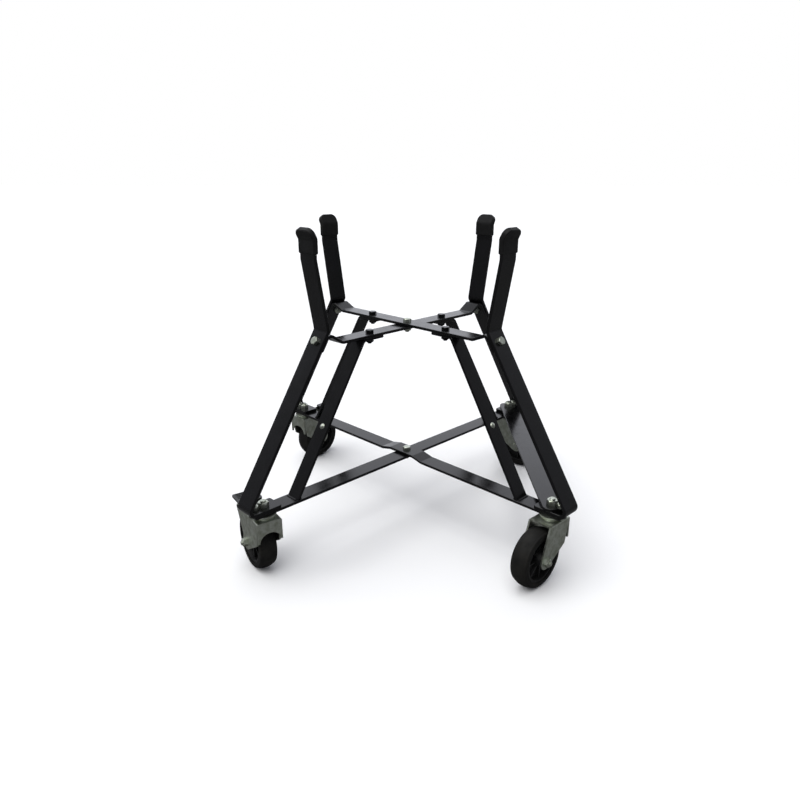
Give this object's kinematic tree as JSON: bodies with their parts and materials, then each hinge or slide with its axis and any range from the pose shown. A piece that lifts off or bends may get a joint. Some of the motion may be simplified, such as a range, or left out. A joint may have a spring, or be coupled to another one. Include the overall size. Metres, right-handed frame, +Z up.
{
  "type": "engine stand",
  "caption": "Rolling cradle stand: bent flat-bar legs with crossed braces and inner struts, rubber-tipped arms, and swivel casters, some with a foot brake.",
  "frame": {"origin": "on the floor, under the crossing of the two pairs of braces", "axes": "+Z up, the front of the stand faces -Y, the side rail is on +X"},
  "size_m": [0.6013, 0.6105, 0.5533],
  "materials": {
    "gloss_black_paint": "gloss black powder coat",
    "black_rubber": "matt moulded rubber",
    "zinc_plate": "bright zinc plate",
    "bearing_steel": "polished steel",
    "black_nylon": "moulded nylon",
    "tread_rubber": "moulded tread rubber",
    "black_steel_pedal": "satin black coat"
  },
  "bodies": {
    "frame": {"leg_front_left": "gloss_black_paint", "tip_boot_front_left": "black_rubber", "strut_front_left": "gloss_black_paint", "leg_front_right": "gloss_black_paint", "tip_boot_front_right": "black_rubber", "strut_front_right": "gloss_black_paint", "leg_rear_left": "gloss_black_paint", "tip_boot_rear_left": "black_rubber", "strut_rear_left": "gloss_black_paint", "leg_rear_right": "gloss_black_paint", "tip_boot_rear_right": "black_rubber", "strut_rear_right": "gloss_black_paint", "knee_brace_lower": "gloss_black_paint", "knee_brace_upper": "gloss_black_paint", "foot_brace_lower": "gloss_black_paint", "foot_brace_upper": "gloss_black_paint", "side_rail": "gloss_black_paint", "strut_welds": "gloss_black_paint", "strut_bolts": "gloss_black_paint", "strut_nuts": "gloss_black_paint", "knee_bolts": "zinc_plate", "knee_nuts": "zinc_plate", "crossing_bolts": "zinc_plate", "crossing_nuts": "zinc_plate", "foot_bolts": "zinc_plate", "foot_nuts": "zinc_plate", "caster_stems": "zinc_plate", "stem_nuts": "zinc_plate", "caster_top_plates": "zinc_plate", "strut_rivets": "zinc_plate"},
    "swivel_front_left": {"fork_front_left": "zinc_plate", "swivel_balls_front_left": "bearing_steel", "axle_bolt_front_left": "zinc_plate", "axle_nut_front_left": "zinc_plate"},
    "wheel_front_left": {"wheel_core_front_left": "black_nylon", "tyre_front_left": "tread_rubber"},
    "pedal_front_left": {"brake_pedal_front_left": "black_steel_pedal"},
    "swivel_front_right": {"fork_front_right": "zinc_plate", "swivel_balls_front_right": "bearing_steel", "axle_bolt_front_right": "zinc_plate", "axle_nut_front_right": "zinc_plate"},
    "wheel_front_right": {"wheel_core_front_right": "black_nylon", "tyre_front_right": "tread_rubber"},
    "swivel_rear_left": {"fork_rear_left": "zinc_plate", "swivel_balls_rear_left": "bearing_steel", "axle_bolt_rear_left": "zinc_plate", "axle_nut_rear_left": "zinc_plate"},
    "wheel_rear_left": {"wheel_core_rear_left": "black_nylon", "tyre_rear_left": "tread_rubber"},
    "pedal_rear_left": {"brake_pedal_rear_left": "black_steel_pedal"},
    "swivel_rear_right": {"fork_rear_right": "zinc_plate", "swivel_balls_rear_right": "bearing_steel", "axle_bolt_rear_right": "zinc_plate", "axle_nut_rear_right": "zinc_plate"},
    "wheel_rear_right": {"wheel_core_rear_right": "black_nylon", "tyre_rear_right": "tread_rubber"}
  },
  "joints": [
    {"name": "caster_swivel_front_left", "type": "hinge", "parent": "frame", "child": "swivel_front_left", "pos_m": [-0.23052, -0.23052, 0.109], "axis": [0, 0, 1], "continuous": true},
    {"name": "wheel_spin_front_left", "type": "hinge", "parent": "swivel_front_left", "child": "wheel_front_left", "pos_m": [-0.25065, -0.20067, 0.05], "axis": [-0.829, -0.5592, 0], "continuous": true},
    {"name": "brake_pedal_front_left", "type": "hinge", "parent": "swivel_front_left", "child": "pedal_front_left", "pos_m": [-0.26575, -0.17829, 0.104], "axis": [-0.829, -0.5592, 0], "range_deg": [0, 8]},
    {"name": "caster_swivel_front_right", "type": "hinge", "parent": "frame", "child": "swivel_front_right", "pos_m": [0.23052, -0.23052, 0.109], "axis": [0, 0, 1], "continuous": true},
    {"name": "wheel_spin_front_right", "type": "hinge", "parent": "swivel_front_right", "child": "wheel_front_right", "pos_m": [0.2044, -0.2553, 0.05], "axis": [0.6884, -0.7254, 0], "continuous": true},
    {"name": "caster_swivel_rear_left", "type": "hinge", "parent": "frame", "child": "swivel_rear_left", "pos_m": [-0.23052, 0.23052, 0.109], "axis": [0, 0, 1], "continuous": true},
    {"name": "wheel_spin_rear_left", "type": "hinge", "parent": "swivel_rear_left", "child": "wheel_rear_left", "pos_m": [-0.20786, 0.25849, 0.05], "axis": [-0.7771, 0.6293, 0], "continuous": true},
    {"name": "brake_pedal_rear_left", "type": "hinge", "parent": "swivel_rear_left", "child": "pedal_rear_left", "pos_m": [-0.19087, 0.27948, 0.104], "axis": [-0.7771, 0.6293, 0], "range_deg": [0, 8]},
    {"name": "caster_swivel_rear_right", "type": "hinge", "parent": "frame", "child": "swivel_rear_right", "pos_m": [0.23052, 0.23052, 0.109], "axis": [0, 0, 1], "continuous": true},
    {"name": "wheel_spin_rear_right", "type": "hinge", "parent": "swivel_rear_right", "child": "wheel_rear_right", "pos_m": [0.25888, 0.20835, 0.05], "axis": [0.6157, 0.788, 0], "continuous": true}
  ]
}
